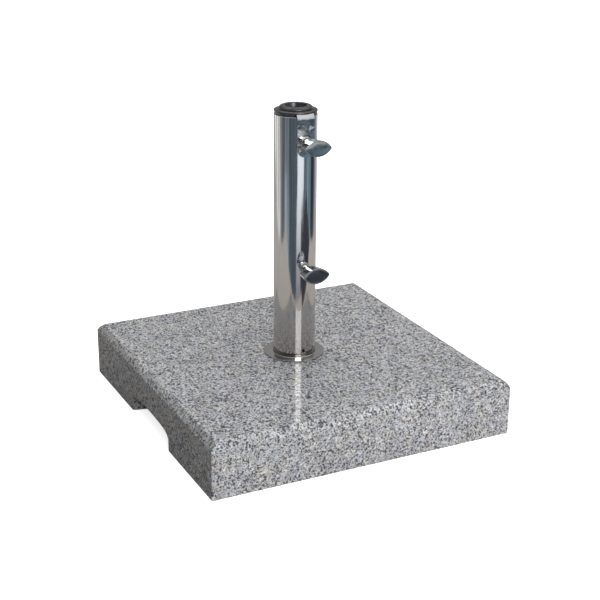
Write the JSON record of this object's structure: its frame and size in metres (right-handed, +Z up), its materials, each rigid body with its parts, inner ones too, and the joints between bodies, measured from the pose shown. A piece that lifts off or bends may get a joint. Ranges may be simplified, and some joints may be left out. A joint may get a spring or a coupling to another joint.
{
  "type": "parasol base",
  "caption": "Square granite parasol base with a bolted steel tube, cover rosette, clamping knobs with almond-shaped grips and nested plastic reducers.",
  "frame": {"origin": "middle of the slab's underside, on the floor, on the tube's axis", "axes": "+Z up along the tube; the knobs face -Y; the finger recesses are in the +X and -X sides"},
  "size_m": [0.45, 0.45, 0.4425],
  "materials": {
    "granite": "light grey granite, polished top, honed sides",
    "polished_steel": "mirror-polished stainless steel",
    "knob_chrome": "bright chrome plate",
    "zinc_steel": "bright zinc plate",
    "black_plastic": "satin moulded plastic",
    "nylon": "natural nylon"
  },
  "bodies": {
    "stand": {"granite_slab": "granite", "stand_tube": "polished_steel", "tube_foot_disc": "zinc_steel", "cover_rosette": "polished_steel", "anchor_bolt": "zinc_steel", "anchor_spring_washer": "zinc_steel", "anchor_washer": "zinc_steel", "clamp_bracket": "polished_steel", "upper_rivet_nut": "zinc_steel", "lower_rivet_nut": "zinc_steel"},
    "upper_screw_tip": {"upper_thrust_tip": "nylon"},
    "upper_knob": {"upper_knob_grip": "knob_chrome", "upper_knob_collar": "knob_chrome", "upper_knob_stud": "zinc_steel"},
    "lower_screw_tip": {"lower_thrust_tip": "nylon"},
    "lower_knob": {"lower_knob_grip": "knob_chrome", "lower_knob_collar": "knob_chrome", "lower_knob_stud": "zinc_steel"},
    "outer_reducer_body": {"outer_reducer": "black_plastic"},
    "inner_reducer_body": {"inner_reducer": "black_plastic"}
  },
  "joints": [
    {"name": "upper_screw_feed", "type": "slide", "parent": "stand", "child": "upper_screw_tip", "axis": [0, -1, 0], "range_m": [-0.0019, 0.0151]},
    {"name": "upper_knob_turn", "type": "hinge", "parent": "upper_screw_tip", "child": "upper_knob", "pos_m": [0, -0.06, 0.397], "axis": [0, -1, 0], "range_deg": [-540, 4320]},
    {"name": "lower_screw_feed", "type": "slide", "parent": "stand", "child": "lower_screw_tip", "axis": [0, -1, 0], "range_m": [-0.0038, 0.0126]},
    {"name": "lower_knob_turn", "type": "hinge", "parent": "lower_screw_tip", "child": "lower_knob", "pos_m": [0, -0.06, 0.2173], "axis": [0, -1, 0], "range_deg": [-1080, 3600]},
    {"name": "outer_reducer_lift", "type": "slide", "parent": "stand", "child": "outer_reducer_body", "axis": [0, 0, 1], "range_m": [0, 0.05]},
    {"name": "inner_reducer_lift", "type": "slide", "parent": "outer_reducer_body", "child": "inner_reducer_body", "axis": [0, 0, 1], "range_m": [0, 0.05]}
  ],
  "couplings": [
    {"joint": "upper_screw_feed", "follows": "upper_knob_turn", "m_per_rad": 0.00019894},
    {"joint": "lower_screw_feed", "follows": "lower_knob_turn", "m_per_rad": 0.00019894}
  ]
}
